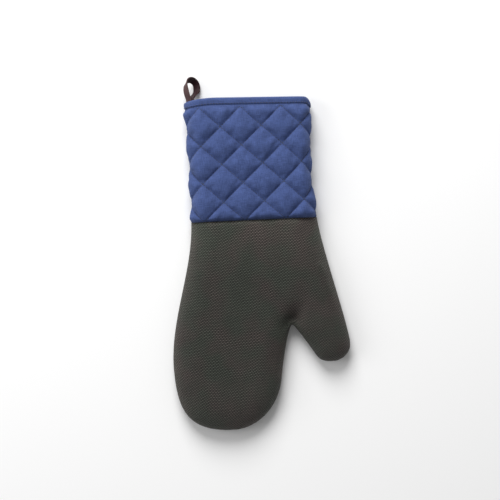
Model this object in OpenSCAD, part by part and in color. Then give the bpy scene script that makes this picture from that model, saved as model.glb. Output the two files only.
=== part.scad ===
// Oven mitt: a neoprene-like hand with a thumb, a diamond-quilted cuff and a hanging loop.
// It lies flat on its back panel. +Z is up through its thickness, +Y runs from the
// finger tip to the cuff's mouth, and +X is the thumb's side. All sizes are in mm.

/* [Overall] */
// Length of the hand, from the wrist seam to the tip of the finger pocket
hand_len = 214; // [170:1:260]
// Width over the finger pocket and the thumb
spread = 182; // [145:1:220]
// Width of the cuff as it lies flat
cuff_w = 129; // [105:1:160]
// Length of the cuff, from the wrist seam to the mouth
cuff_len = 124; // [80:1:170]
// Height of the hand as it lies, lightly filled out
hand_h = 27; // [20:0.5:40]
// Height of the cuff as it lies
cuff_h = 28; // [24:0.5:40]

/* [Hand outline] */
// Width of the finger pocket at its widest
pocket_w = 113; // [90:1:140]
// How far down the hand the crotch lies, as a share of its length
crotch_at = 0.51; // [0.42:0.01:0.6]
// How far the thumb's tip lies below the crotch
thumb_drop = 39; // [25:1:60]
// Width of the thumb near its tip
thumb_w = 36; // [26:1:46]
// Radius of the round notch at the crotch
notch_r = 3; // [2:0.5:6]

/* [Cloth layers] */
// Thickness of the hand's shell
shell_t = 3; // [1.5:0.1:4]
// Thickness of the hand's lining
lining_t = 1; // [0.6:0.1:2]
// Thickness of the cuff's cover cloth
cover_t = 0.8; // [0.5:0.1:1.5]
// Thickness of the cuff's batting, pressed flat at the quilting lines
batting_t = 5; // [3:0.1:7]
// Thickness of the cuff's lining cloth
cuff_lining_t = 0.8; // [0.5:0.1:1.5]
// Height of the side seam above the table
seam_z = 10; // [9:0.5:14]
// How far in from the edge the cloth is rounded over
roll = 26; // [14:1:34]
// How far in from the edge the cuff is rounded over
cuff_roll = 16; // [10:1:30]

/* [Quilting] */
// Width of a diamond, corner to corner across the cuff
quilt_w = 42; // [24:1:60]
// Length of a diamond, corner to corner along the cuff
quilt_l = 38.5; // [24:0.5:60]
// How far the middle of a diamond stands above its stitching
puff = 3; // [0:0.1:5]
// Width of the quilting thread
thread_w = 0.7; // [0.4:0.1:1.2]

/* [Binding] */
// Width of the binding seen on the outside
bind_w = 7; // [5:0.5:14]
// Thickness of the binding strip
bind_t = 1.2; // [0.6:0.1:2]

/* [Hanging loop] */
// Width of the strap
strap_w = 7; // [5:0.5:10]
// Thickness of the strap
strap_t = 1.6; // [1:0.1:2.5]
// Length of the loop above the mouth
loop_len = 24.5; // [18:0.5:45]
// Width of the loop at its widest
loop_w = 15; // [9:0.5:24]
// Turn of the loop about its length
loop_turn = 33; // [0:1:45]
// How far the loop leans down towards the table
loop_lean = 12; // [0:1:16]
// How far in from the cuff's edge the loop is sewn
loop_in = 10; // [7:0.5:20]

/* [Clearances] */
// Gap where the cloth bends between two bodies
flex_gap = 0.4; // [0.3:0.1:1]

/* [Hidden] */

cloth_blue = [0.27, 0.35, 0.52];
cloth_dark = [0.22, 0.20, 0.19];
felt_grey = [0.78, 0.77, 0.74];
lining_grey = [0.62, 0.61, 0.60];
thread_dark = [0.13, 0.15, 0.24];
strap_brown = [0.30, 0.19, 0.18];

// The outline's own points, drafted like a paper pattern from the sizes above.
half_w = cuff_w / 2;
left_x = -0.49 * spread;
right_x = 0.51 * spread;
tip_y = -hand_len;
wide_y = tip_y + 0.62 * pocket_w;
tip_x = left_x + 0.514 * pocket_w;
pocket_x = left_x + 0.973 * pocket_w;
pocket_y = tip_y + 0.435 * pocket_w;
crotch_y = -crotch_at * hand_len;
crotch_x = left_x + 1.09 * pocket_w;
thumb_y = crotch_y - thumb_drop;
thumb_x = right_x - 0.54 * thumb_w;
knuckle_pt = [crotch_x - notch_r, crotch_y - notch_r];
root_pt = [crotch_x + notch_r, crotch_y - notch_r];

// A cubic curve through four drafting points, without its first point.
function curve(a, b, c, d, n) = [
    for (i = [1:n])
        let (t = i / n, u = 1 - t)
            u * u * u * a + 3 * u * u * t * b + 3 * u * t * t * c + t * t * t * d
];

left_top = curve(
    [-half_w, 0], [-half_w - 0.5, wide_y / 3], [left_x, wide_y * 0.66], [left_x, wide_y], 20
);
palm_left = concat([[-half_w, 0]], [for (i = [0:13]) left_top[i]]);
pocket_left = concat(
    [for (i = [13:19]) left_top[i]],
    curve(
        [left_x, wide_y], [left_x + 1, wide_y - 0.42 * pocket_w],
        [left_x + 0.1 * pocket_w, tip_y], [tip_x, tip_y], 16
    )
);
pocket_right = concat(
    [knuckle_pt],
    curve(
        knuckle_pt, knuckle_pt + [-3.5, -14], [pocket_x + 1.5, pocket_y + 14],
        [pocket_x, pocket_y], 10
    ),
    curve(
        [pocket_x, pocket_y], [pocket_x - 0.05 * pocket_w, pocket_y - 0.29 * pocket_w],
        [tip_x + 0.19 * pocket_w, tip_y], [tip_x, tip_y], 14
    )
);
thumb_in = root_pt + [21, -29.5] * (thumb_drop / 39);
thumb_inner = concat(
    [root_pt],
    curve(root_pt, root_pt + [6, -8], thumb_in + [-5, 7.5], thumb_in, 8),
    curve(thumb_in, thumb_in + [3.5, -5], [thumb_x - 8, thumb_y], [thumb_x, thumb_y], 8)
);
outer_side = curve(
    [half_w, 0], [half_w + 3.2, crotch_y * 0.275], [right_x - 2.6, crotch_y * 0.96],
    [right_x, thumb_y + 0.54 * thumb_w], 20
);
palm_right = concat([[half_w, 0]], [for (i = [0:10]) outer_side[i]]);
thumb_outer = concat(
    [for (i = [10:19]) outer_side[i]],
    curve(
        [right_x, thumb_y + 0.54 * thumb_w], [right_x + 1, thumb_y + 0.24 * thumb_w],
        [thumb_x + 0.33 * thumb_w, thumb_y], [thumb_x, thumb_y], 10
    )
);
notch_top = [crotch_x, crotch_y];
edge_left = concat(palm_left, pocket_left);
edge_right = concat(palm_right, thumb_outer);
edges = [edge_left, pocket_right, [knuckle_pt, notch_top, root_pt], thumb_inner, edge_right];

function flat_to(p, a, b) =
    let (ab = b - a, l = ab * ab, t = l > 0 ? min(1, max(0, ((p - a) * ab) / l)) : 0)
        norm(p - a - t * ab);
function line_gap(p, e) = min([for (i = [0:len(e) - 2]) flat_to(p, e[i], e[i + 1])]);
function edge_gap(p) = min([for (e = edges) line_gap(p, e)]);

// Distance along a line of points, and the point at a given distance.
function run(e) = [
    for (i = 0, s = 0; i < len(e); s = s + (i + 1 < len(e) ? norm(e[i + 1] - e[i]) : 0), i = i + 1) s
];
function at(e, r, s) = [
    lookup(s, [for (i = [0:len(e) - 1]) [r[i], e[i].x]]),
    lookup(s, [for (i = [0:len(e) - 1]) [r[i], e[i].y]])
];
function unit(v) = v / norm(v);
function inward(e, r, s, side) =
    let (d = unit(at(e, r, s + 0.6) - at(e, r, s - 0.6))) side * [-d.y, d.x];

// A rail is one side of a zone: [point, the way it moves per mm of depth, on the edge].
function rail(e, from, to, n, side) =
    let (r = run(e), top = r[len(e) - 1] - to)
        [
            for (i = [0:n])
                let (s = from + (top - from) * i / n)
                    [at(e, r, s), inward(e, r, s, side), true]
        ];
// The way a seam's end moves along its flex line, so that the cut stays in one plane.
function slant(dir, n) = dir / max(0.5, dir * n);
function with_first(list, v) = concat([v], [for (i = [1:len(list) - 1]) list[i]]);
function with_last(list, v) = concat([for (i = [0:len(list) - 2]) list[i]], [v]);
function squared(a, b) =
    let (dir = unit(b[0][0] - a[0][0]))
        [
            with_first(a, [a[0][0], slant(dir, a[0][1]), true]),
            with_first(b, [b[0][0], slant(-dir, b[0][1]), true])
        ];

half_gap = flex_gap / 2;
tip_half = 5;
finger_rails = squared(
    rail(pocket_left, half_gap, tip_half, 12, 1), rail(pocket_right, half_gap, tip_half, 12, -1)
);
thumb_rails = squared(
    rail(thumb_inner, half_gap, tip_half, 9, 1), rail(thumb_outer, half_gap, tip_half, 9, -1)
);

palm_l0 = rail(palm_left, half_gap, half_gap, 14, 1);
palm_r0 = rail(palm_right, half_gap, half_gap, 5, -1);
palm_outer = palm_r0[5][0];
palm_root = root_pt + [0.2, 0.9] * flex_gap;
palm_knuckle = knuckle_pt + [-0.1, 0.9] * flex_gap;
root_dir = unit(palm_root - palm_outer);
knuckle_dir = unit(palm_knuckle - palm_l0[14][0]);
outer_move = slant(root_dir, palm_r0[5][1]);
root_move = slant(-root_dir, unit([0.62, 0.8]));
palm_right_rail = concat(
    [[[palm_r0[0][0].x, -half_gap], [-1, 0], true]],
    [for (i = [1:4]) palm_r0[i]],
    [[palm_outer, outer_move, true]],
    [
        for (i = [1:6])
            let (f = i / 7)
                [palm_outer + f * (palm_root - palm_outer), (1 - f) * outer_move + f * root_move, false]
    ],
    [[palm_root, root_move, true]],
    [[notch_top, [0, 1], true]],
    [[palm_knuckle, slant(-knuckle_dir, unit([-1, 0.3])), true]]
);
palm_left_rail = with_last(
    with_first(palm_l0, [[palm_l0[0][0].x, -half_gap], [1, 0], true]),
    [palm_l0[14][0], slant(knuckle_dir, palm_l0[14][1]), true]
);
palm_rails = [palm_left_rail, palm_right_rail];

// The whole part's box, so that its middle can be put over the origin.
rims = concat(
    [for (r = finger_rails) for (p = r) p[0]], [for (r = thumb_rails) for (p = r) p[0]],
    [for (p = palm_l0) p[0]], [for (p = palm_r0) p[0]]
);
mouth_y = cuff_len;
loop_big = loop_w / 2;
loop_edge = strap_w / 2 * cos(loop_turn) * sin(loop_lean);
root_y = mouth_y + flex_gap + strap_t + loop_edge;
eye_y = loop_len - strap_t - loop_big;
loop_top = root_y + eye_y * cos(loop_lean) + loop_edge
    + loop_big * sqrt(pow(cos(loop_lean), 2) + pow(sin(loop_turn) * sin(loop_lean), 2));
mid_x = (min([for (p = rims) p.x]) + max([for (p = rims) p.x])) / 2;
mid_y = (min([for (p = rims) p.y]) + loop_top) / 2;

// How far a rounded edge has risen, 0 at the edge and 1 where the cloth lies level.
function rise(d, r) = let (s = 1 - min(1, max(0, d) / r)) sqrt(1 - s * s);
function front_z(k, t, h) = seam_z + (h - seam_z - t) * k;
function back_z(k, t) = seam_z - (seam_z - t) * k;

// Points of a zone at one depth. Its columns close up towards both edges.
hand_cols = 14;
function col(j, m) = (1 - cos(180 * j / m)) / 2;
function flat_grid(r, t, m) = [
    for (i = [0:len(r[0]) - 1])
        let (a = r[0][i][0] + t * r[0][i][1], b = r[1][i][0] + t * r[1][i][1])
            [for (j = [0:m]) a + (b - a) * col(j, m)]
];
function rise_grid(r, m, tip) =
    let (g = flat_grid(r, 0, m), n = len(r[0]) - 1)
        [
            for (i = [0:n])
                [
                    for (j = [0:m])
                        (j == 0 || (j == m && r[1][i][2]) || (tip && i == n))
                            ? 0 : rise(edge_gap(g[i][j]), roll)
                ]
        ];
function skin(r, k, t, m, front) =
    let (g = flat_grid(r, t, m))
        [
            for (i = [0:len(g) - 1])
                [
                    for (j = [0:m])
                        let (z = front ? front_z(k[i][j], t, hand_h) : back_z(k[i][j], t))
                            [g[i][j].x, g[i][j].y, z]
                ]
        ];

// A closed sheet between two grids of points, the first one above the second.
// Each cell is cut along the diagonal that lies lower, which keeps stitched lines sharp.
module sheet_between(upper, lower) {
    rows = len(upper);
    cols = len(upper[0]);
    all_points = concat([for (r = upper) for (p = r) p], [for (r = lower) for (p = r) p]);
    half = rows * cols;
    function top(i, j) = i * cols + j;
    function low_cut(g, i, j) =
        g[i][j].z + g[i + 1][j + 1].z < g[i][j + 1].z + g[i + 1][j].z - 0.001;
    function cell(g, i, j, o) =
        let (a = o + top(i, j), b = o + top(i, j + 1), c = o + top(i + 1, j + 1), d = o + top(i + 1, j))
            low_cut(g, i, j) ? [[a, b, c], [a, c, d]] : [[a, b, d], [b, c, d]];
    ring = concat(
        [for (j = [0:cols - 2]) top(0, j)],
        [for (i = [0:rows - 2]) top(i, cols - 1)],
        [for (j = [cols - 1:-1:1]) top(rows - 1, j)],
        [for (i = [rows - 1:-1:1]) top(i, 0)]
    );
    n = len(ring);
    faces = concat(
        [for (i = [0:rows - 2]) for (j = [0:cols - 2]) for (f = cell(upper, i, j, 0)) [f[2], f[1], f[0]]],
        [for (i = [0:rows - 2]) for (j = [0:cols - 2]) for (f = cell(lower, i, j, half)) f],
        [for (k = [0:n - 1]) let (a = ring[k], b = ring[(k + 1) % n]) [a, b, b + half]],
        [for (k = [0:n - 1]) let (a = ring[k], b = ring[(k + 1) % n]) [a, b + half, a + half]]
    );
    polyhedron(all_points, [for (f = faces) [f[2], f[1], f[0]]]);
}

// One layer of the hand in one zone, from depth t1 to depth t2.
module hand_layer(r, t1, t2, m, tip, front) {
    k = rise_grid(r, m, tip);
    if (front) {
        sheet_between(skin(r, k, t1, m, true), skin(r, k, t2, m, true));
    } else {
        sheet_between(skin(r, k, t2, m, false), skin(r, k, t1, m, false));
    }
}

// Stitches that close a zone's edge: short threads through both panels.
module edge_stitches(r, tip) {
    last = len(r[0]) - (tip ? 2 : 1);
    for (side = [0, 1], i = [1:last - 1]) {
        here = r[side][i];
        if (here[2] && norm(here[0] - root_pt) > 6 && norm(here[0] - knuckle_pt) > 6) {
            next_pt = r[side][i + 1][0];
            dir = unit(next_pt - here[0]);
            spot = here[0] + here[1] * shell_t * 0.55;
            translate([spot.x, spot.y, seam_z])
                rotate([0, 0, atan2(dir.y, dir.x)])
                    cube([3, thread_w, shell_t * 0.7], center = true);
        }
    }
}

// The cuff's layers. Columns follow the quilting, so that stitched lines stay crisp.
quilt_x = -0.22 * quilt_w;
step_x = quilt_w / 8;
step_y = quilt_l / 8;
cuff_start = half_gap;
bind_y = mouth_y - bind_w;
side_x = half_w - 9;
cuff_cols = concat(
    [-half_w, -half_w + 1, -half_w + 4],
    [
        for (j = [ceil((-side_x - quilt_x) / step_x):floor((side_x - quilt_x) / step_x)])
            quilt_x + j * step_x
    ],
    [half_w - 4, half_w - 1, half_w]
);
function cuff_x(x, t) = x * (half_w - t) / half_w;
function cuff_rise(x) = rise(half_w - abs(x), cuff_roll);
function wave(u) = abs(sin(180 * u));
function puff_at(x, y) =
    let (u = (x - quilt_x) / quilt_w, v = y / quilt_l)
        puff * sqrt(wave(u + v) * wave(u - v)) * min(1, (half_w - abs(x)) / 10)
            * min(1, max(0, (bind_y - bind_t - y) / 5)) * min(1, max(0, y - 3) / 6);
// Rows of the cuff: [y, 1 where the layer is pinched under the binding]. The cover's
// outside steps in at the binding's edge, and the layers inside it a little before.
plain_rows = concat(
    [[cuff_start, 0]],
    [for (i = [1:floor((bind_y - 3.5) / step_y)]) [i * step_y, 0]],
    [[bind_y - 2.4, 0]]
);
skin_rows = concat(plain_rows, [[bind_y - 0.4, 0], [bind_y, 1], [mouth_y - bind_t, 1]]);
core_rows = concat(plain_rows, [[bind_y - 1.4, 0], [bind_y - 1, 1], [mouth_y - bind_t, 1]]);
function cuff_skin(rows, t, pinch, puffed) = [
    for (r = rows)
        let (d = t + pinch * r[1])
            [
                for (x = cuff_cols)
                    [
                        cuff_x(x, d), r[0],
                        front_z(cuff_rise(x), d, cuff_h) + (puffed ? puff_at(x, r[0]) : 0)
                    ]
            ]
];
function arch(t, front) = [
    for (x = cuff_cols)
        [cuff_x(x, t), front ? front_z(cuff_rise(x), t, cuff_h) : back_z(cuff_rise(x), t)]
];
function turned(list) = [for (i = [len(list) - 1:-1:0]) list[i]];
module along_cuff(y1, y2) {
    translate([0, y2, 0])
        rotate([90, 0, 0])
            linear_extrude(height = y2 - y1)
                children();
}
module half_tube(t1, t2, y1, y2, front) {
    along_cuff(y1, y2) polygon(concat(arch(t1, front), turned(arch(t2, front))));
}
module whole_tube(t1, t2, y1, y2) {
    along_cuff(y1, y2) {
        difference() {
            polygon(concat(arch(t1, true), turned([for (p = arch(t1, false)) if (p.y < seam_z) p])));
            polygon(concat(arch(t2, true), turned([for (p = arch(t2, false)) if (p.y < seam_z) p])));
        }
    }
}
depth_1 = cover_t;
depth_2 = depth_1 + batting_t;
depth_3 = depth_2 + cuff_lining_t;
edge_y = mouth_y - bind_t;

// The layers of a cuff panel that aren't puffed. Each is pinched in under the binding.
module cover_layer(front) {
    half_tube(0, depth_1, cuff_start, bind_y - 1, front);
    half_tube(0, depth_1 + bind_t, bind_y - 1, bind_y, front);
    half_tube(bind_t, depth_1 + bind_t, bind_y, edge_y, front);
}
module batting_layer(front) {
    half_tube(depth_1, depth_2, cuff_start, bind_y - 1, front);
    half_tube(depth_1 + bind_t, depth_2 - bind_t, bind_y - 1, edge_y, front);
}
module lining_layer(front) {
    half_tube(depth_2, depth_3, cuff_start, bind_y - 1, front);
    half_tube(depth_2 - bind_t, depth_3, bind_y - 1, bind_y, front);
    half_tube(depth_2 - bind_t, depth_3 - bind_t, bind_y, edge_y, front);
}
// Sewn lines end short of the seams, and lie in the outer half of the cover.
module quilt_lines(front) {
    count = ceil(mouth_y / quilt_l) + 2;
    intersection() {
        half_tube(front ? -0.15 : 0, cover_t * 0.5, cuff_start + 2.6, bind_y - 1.5, front);
        translate([-half_w + 2, 0, -5])
            cube([cuff_w - 4, mouth_y, cuff_h + 10]);
        union() {
            for (way = [-1, 1], k = [-count - 1:count + 1]) {
                start_x = quilt_x + k * quilt_w;
                end_x = start_x + way * mouth_y * quilt_w / quilt_l;
                if (max(start_x, end_x) > -half_w && min(start_x, end_x) < half_w) {
                    translate([start_x, 0, 0])
                        rotate([0, 0, atan2(quilt_l, way * quilt_w)])
                            translate([-10, -thread_w / 2, -5])
                                cube([mouth_y * 1.7 + 20, thread_w, cuff_h + 10]);
                }
            }
        }
    }
}
module stitch_row(y, pitch, depth, front) {
    intersection() {
        half_tube(front ? -0.15 : 0, depth, y, y + thread_w, front);
        union() {
            for (x = [-half_w + pitch:pitch:half_w - pitch]) {
                translate([x - pitch * 0.35, y - 1, -5])
                    cube([pitch * 0.7, thread_w + 2, cuff_h + 10]);
            }
        }
    }
}

module palm_shell_front() {
    color(cloth_dark) hand_layer(palm_rails, 0, shell_t, hand_cols, false, true);
}
module palm_shell_back() {
    color(cloth_dark) hand_layer(palm_rails, 0, shell_t, hand_cols, false, false);
}
module palm_lining_front() {
    color(lining_grey)
        hand_layer(palm_rails, shell_t, shell_t + lining_t, hand_cols, false, true);
}
module palm_lining_back() {
    color(lining_grey)
        hand_layer(palm_rails, shell_t, shell_t + lining_t, hand_cols, false, false);
}
module palm_side_stitches() {
    color(thread_dark) edge_stitches(palm_rails, false);
}
module fingers_shell_front() {
    color(cloth_dark) hand_layer(finger_rails, 0, shell_t, hand_cols, true, true);
}
module fingers_shell_back() {
    color(cloth_dark) hand_layer(finger_rails, 0, shell_t, hand_cols, true, false);
}
module fingers_lining_front() {
    color(lining_grey)
        hand_layer(finger_rails, shell_t, shell_t + lining_t, hand_cols, true, true);
}
module fingers_lining_back() {
    color(lining_grey)
        hand_layer(finger_rails, shell_t, shell_t + lining_t, hand_cols, true, false);
}
module fingers_side_stitches() {
    color(thread_dark) edge_stitches(finger_rails, true);
}
thumb_cols = 10;
module thumb_shell_front() {
    color(cloth_dark) hand_layer(thumb_rails, 0, shell_t, thumb_cols, true, true);
}
module thumb_shell_back() {
    color(cloth_dark) hand_layer(thumb_rails, 0, shell_t, thumb_cols, true, false);
}
module thumb_lining_front() {
    color(lining_grey)
        hand_layer(thumb_rails, shell_t, shell_t + lining_t, thumb_cols, true, true);
}
module thumb_lining_back() {
    color(lining_grey)
        hand_layer(thumb_rails, shell_t, shell_t + lining_t, thumb_cols, true, false);
}
module thumb_side_stitches() {
    color(thread_dark) edge_stitches(thumb_rails, true);
}

module cuff_cover_front() {
    color(cloth_blue)
        sheet_between(
            cuff_skin(skin_rows, 0, bind_t, true), cuff_skin(core_rows, depth_1, bind_t, true)
        );
}
module cuff_cover_back() {
    color(cloth_blue) cover_layer(false);
}
module cuff_batting_front() {
    color(felt_grey)
        sheet_between(
            cuff_skin(core_rows, depth_1, bind_t, true), cuff_skin(core_rows, depth_2, -bind_t, false)
        );
}
module cuff_batting_back() {
    color(felt_grey) batting_layer(false);
}
module cuff_lining_front() {
    color(lining_grey) lining_layer(true);
}
module cuff_lining_back() {
    color(lining_grey) lining_layer(false);
}
module quilting_thread_front() {
    color(thread_dark) quilt_lines(true);
}
module quilting_thread_back() {
    color(thread_dark) quilt_lines(false);
}
module mouth_binding() {
    color(cloth_blue) {
        difference() {
            whole_tube(0, depth_3, bind_y, mouth_y);
            whole_tube(bind_t, depth_3 - bind_t, bind_y - 1, edge_y);
        }
    }
}
module binding_stitches() {
    color(thread_dark) {
        stitch_row(bind_y + 0.8, 4, bind_t * 0.6, true);
        stitch_row(bind_y + 0.8, 4, bind_t * 0.6, false);
    }
}
module cuff_side_stitches() {
    count = floor((bind_y - 8) / 9);
    color(thread_dark) {
        for (side = [-1, 1], i = [0:count - 1]) {
            translate([side * (half_w - 0.9), 6 + i * 9, seam_z])
                cube([thread_w, 3, 2.4], center = true);
        }
    }
}
module wrist_seam_stitches() {
    color(thread_dark) {
        stitch_row(cuff_start + 1, 5, cover_t * 0.5, true);
        stitch_row(cuff_start + 1, 5, cover_t * 0.5, false);
    }
}

// The strap's two ends stand on edge inside the mouth, as close to the side seam as the
// hollow is high enough for the strap's width.
tail_z = seam_z + 0.34 * strap_w;
tail_rise = (0.84 * strap_w + 0.15) / (cuff_h - seam_z - depth_3);
tail_edge = cuff_roll * (1 - sqrt(1 - tail_rise * tail_rise));
tail_x = max(
    -half_w + loop_in, strap_t + 0.1 - (half_w - tail_edge) * (half_w - depth_3) / half_w
);
tail_len = bind_w + 4;
bar_y = bind_y + bind_w * 0.5;
module loop_tail() {
    color(strap_brown) {
        translate([tail_x - strap_t, mouth_y - tail_len, tail_z - strap_w / 2])
            cube([2 * strap_t, tail_len, strap_w]);
    }
}
module loop_bartack() {
    color(thread_dark) {
        for (i = [-1, 1]) {
            translate([-half_w + 0.6, bar_y + i * 1.2 - thread_w / 2, seam_z + i * 0.8 - 0.4])
                cube([tail_x + half_w + strap_t, thread_w, 0.8]);
        }
    }
}

// A loop's side view: two round ends joined by their tangents.
function drop(y1, r1, y2, r2) =
    let (a = asin((r2 - r1) / (y2 - y1)))
        concat(
            [for (i = [0:20]) let (w = -a + (180 + 2 * a) * i / 20) [r2 * cos(w), y2 + r2 * sin(w)]],
            [
                for (i = [0:10])
                    let (w = 180 + a + (180 - 2 * a) * i / 10) [r1 * cos(w), y1 + r1 * sin(w)]
            ]
        );
module hanging_loop() {
    color(strap_brown) {
        translate([tail_x, root_y, tail_z])
            rotate([-loop_lean, 0, 0])
                rotate([0, loop_turn, 0])
                    translate([0, 0, -strap_w / 2])
                        linear_extrude(height = strap_w)
                            difference() {
                                polygon(drop(0, strap_t, eye_y, loop_big));
                                polygon(drop(strap_t * 2.6, 0.3, eye_y, loop_big - strap_t));
                            }
    }
}

module placed() {
    translate([-mid_x, -mid_y, 0]) children();
}

placed() palm_shell_front();
placed() palm_shell_back();
placed() palm_lining_front();
placed() palm_lining_back();
placed() palm_side_stitches();
placed() fingers_shell_front();
placed() fingers_shell_back();
placed() fingers_lining_front();
placed() fingers_lining_back();
placed() fingers_side_stitches();
placed() thumb_shell_front();
placed() thumb_shell_back();
placed() thumb_lining_front();
placed() thumb_lining_back();
placed() thumb_side_stitches();
placed() cuff_cover_front();
placed() cuff_cover_back();
placed() cuff_batting_front();
placed() cuff_batting_back();
placed() cuff_lining_front();
placed() cuff_lining_back();
placed() quilting_thread_front();
placed() quilting_thread_back();
placed() mouth_binding();
placed() binding_stitches();
placed() cuff_side_stitches();
placed() wrist_seam_stitches();
placed() loop_tail();
placed() loop_bartack();
placed() hanging_loop();
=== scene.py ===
import math

import bmesh
import bpy
import numpy as np
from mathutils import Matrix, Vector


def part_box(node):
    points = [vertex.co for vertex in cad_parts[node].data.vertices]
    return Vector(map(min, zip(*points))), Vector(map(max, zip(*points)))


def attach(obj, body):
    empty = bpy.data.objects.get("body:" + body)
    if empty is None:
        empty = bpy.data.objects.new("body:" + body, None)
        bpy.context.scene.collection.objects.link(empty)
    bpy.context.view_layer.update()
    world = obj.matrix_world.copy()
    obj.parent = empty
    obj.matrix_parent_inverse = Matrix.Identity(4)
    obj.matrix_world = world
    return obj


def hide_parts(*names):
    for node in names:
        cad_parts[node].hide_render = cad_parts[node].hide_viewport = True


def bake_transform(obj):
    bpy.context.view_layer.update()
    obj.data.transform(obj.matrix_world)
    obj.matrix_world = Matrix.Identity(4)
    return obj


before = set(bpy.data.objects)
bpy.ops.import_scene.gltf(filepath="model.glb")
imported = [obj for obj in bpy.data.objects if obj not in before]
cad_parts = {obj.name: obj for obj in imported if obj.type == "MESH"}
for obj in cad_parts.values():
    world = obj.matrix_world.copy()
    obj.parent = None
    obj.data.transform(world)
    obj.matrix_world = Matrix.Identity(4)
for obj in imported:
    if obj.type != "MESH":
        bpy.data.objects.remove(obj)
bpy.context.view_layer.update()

# ---------------------------------------------------------------------------
# Quilted cuff cover
# Two panels of blue cotton, stitched through soft padding in diamonds, so that each
# diamond puffs up and the cloth puckers where the thread draws it in.
# ---------------------------------------------------------------------------
# Sizes are in mm. x is across the mitt from its middle, y along it from the wrist seam,
# and z up from the table.
cuff_half = 64.5
cuff_length = 124.0
binding_width = 7.0
cuff_top = 27.0
cuff_low = 1.45
seam_height = 10.0
side_round = 16.0
diamond_w, diamond_l = 42.0, 38.5
diamond_x = -0.22 * diamond_w
# where the sides are narrowest, how far below the mouth they are wide again, and the share that
# they draw in at their narrowest and no longer draw in at their widest
waist_y, waist_to_mouth = 44.0, 76
waist_share, waist_eased = 0.045, 0.04
# how the mouth's edge leans, and how far it drops at its left and right corner
mouth_lean = 0.03
drop_left, drop_right = 4.0, 6.0
# how deep the wrist seam draws the cloth in, and the least height over the table
wrist_draw = 4.2
table_gap = 0.15
cover_thick = 0.8
# half of a panel, laid flat, and how many steps of its grid go to a diamond
panel_half = 75.0
cloth_step = 32
# the cloth's flat coordinates are kept as parts of this many mm
uv_unit = 100.0

mouth_low, mouth_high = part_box("mouth_binding")
middle_x = 500 * (mouth_low[0] + mouth_high[0])
wrist_y = 1000 * mouth_high[1] - cuff_length


def placed(points):
    """Points in mm, from the mitt's own middle, as metres in the shared frame."""
    points = np.asarray(points, float)
    return (points + np.array([middle_x, wrist_y, 0.0])) / 1000


def smooth(a, b, t):
    t = np.clip((np.asarray(t, float) - a) / (b - a), 0, 1)
    return t * t * (3 - 2 * t)


def new_piece(name, points, faces, uvs=None, material=None):
    """A mesh piece from points in mm. uvs are the cloth's own flat coordinates in mm."""
    mesh = bpy.data.meshes.new(name)
    mesh.from_pydata([tuple(p) for p in placed(points)], [], [tuple(f) for f in faces])
    if uvs is not None:
        layer = mesh.uv_layers.new(name="flat_cloth")
        corner = np.empty(len(mesh.loops), np.int32)
        mesh.loops.foreach_get("vertex_index", corner)
        layer.data.foreach_set("uv", (np.asarray(uvs, float)[corner] / uv_unit).astype(np.float32).ravel())
    mesh.validate()
    mesh.polygons.foreach_set("use_smooth", [True] * len(mesh.polygons))
    mesh.update()
    piece = bpy.data.objects.new(name, mesh)
    bpy.context.scene.collection.objects.link(piece)
    if material:
        mesh.materials.append(material)
    return piece


def grid_faces(rows, cols, start=0, flip=False, close=False):
    faces = []
    for i in range(rows - 1):
        for j in range(cols if close else cols - 1):
            k = (j + 1) % cols
            this, after = start + i * cols, start + (i + 1) * cols
            corners = [this + j, this + k, after + k, after + j]
            faces.append(corners[::-1] if flip else corners)
    return faces


def closed_sheet(name, upper, lower, flat, material, cuts=None):
    """Cloth with a thickness: two grids of points, the first above the second, and the edge between.
    cuts says which cells are split in two, and which way, so that a sewn line stays straight."""
    rows, cols = upper.shape[:2]
    half = rows * cols
    faces = grid_faces(rows, cols) + grid_faces(rows, cols, half, flip=True)
    if cuts is not None:
        ways = np.concatenate([cuts.ravel(), (3 - cuts.ravel()) % 3])
        split_faces = []
        for f, way in zip(faces, ways):
            if way == 1:
                split_faces += [[f[0], f[1], f[2]], [f[0], f[2], f[3]]]
            elif way == 2:
                split_faces += [[f[0], f[1], f[3]], [f[1], f[2], f[3]]]
            else:
                split_faces.append(f)
        faces = split_faces
    ring = list(range(cols - 1))
    ring += [i * cols + cols - 1 for i in range(rows - 1)]
    ring += [(rows - 1) * cols + j for j in range(cols - 1, 0, -1)]
    ring += [i * cols for i in range(rows - 1, 0, -1)]
    for a, b in zip(ring, ring[1:] + ring[:1]):
        faces.append([b, a, a + half, b + half])
    points = np.concatenate([upper.reshape(-1, 3), lower.reshape(-1, 3)])
    uvs = np.concatenate([flat.reshape(-1, 2)] * 2)
    return new_piece(name, points, faces, uvs, material)


def tree_of(name):
    material = bpy.data.materials.new(name)
    material.use_nodes = True
    tree = material.node_tree
    shader = tree.nodes["Principled BSDF"]
    return material, tree, shader


def add(tree, kind, inputs=None, **settings):
    """A shader node with its settings, and its inputs as values or as links."""
    n = tree.nodes.new(kind)
    for key, value in settings.items():
        setattr(n, key, value)
    for key, value in (inputs or {}).items():
        if isinstance(value, bpy.types.NodeSocket):
            tree.links.new(value, n.inputs[key])
        else:
            n.inputs[key].default_value = value
    return n


def maths(tree, operation, a, b=0.0, c=0.0):
    n = add(tree, "ShaderNodeMath", {0: a, 1: b, 2: c}, operation=operation)
    return n.outputs[0]


def mixed(tree, share, first, second):
    """A colour, from the first where share is 0 to the second where it is 1."""
    n = add(tree, "ShaderNodeMix", {"Factor": share, "A": first, "B": second}, data_type="RGBA")
    return n.outputs["Result"]


def scaled(tree, vector, level):
    return add(tree, "ShaderNodeVectorMath", {0: vector, 3: level}, operation="SCALE").outputs[0]


def ranged(tree, value, low, high, to_low=0.0, to_high=1.0):
    n = add(tree, "ShaderNodeMapRange", {0: value, 1: low, 2: high, 3: to_low, 4: to_high})
    return n.outputs[0]


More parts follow.
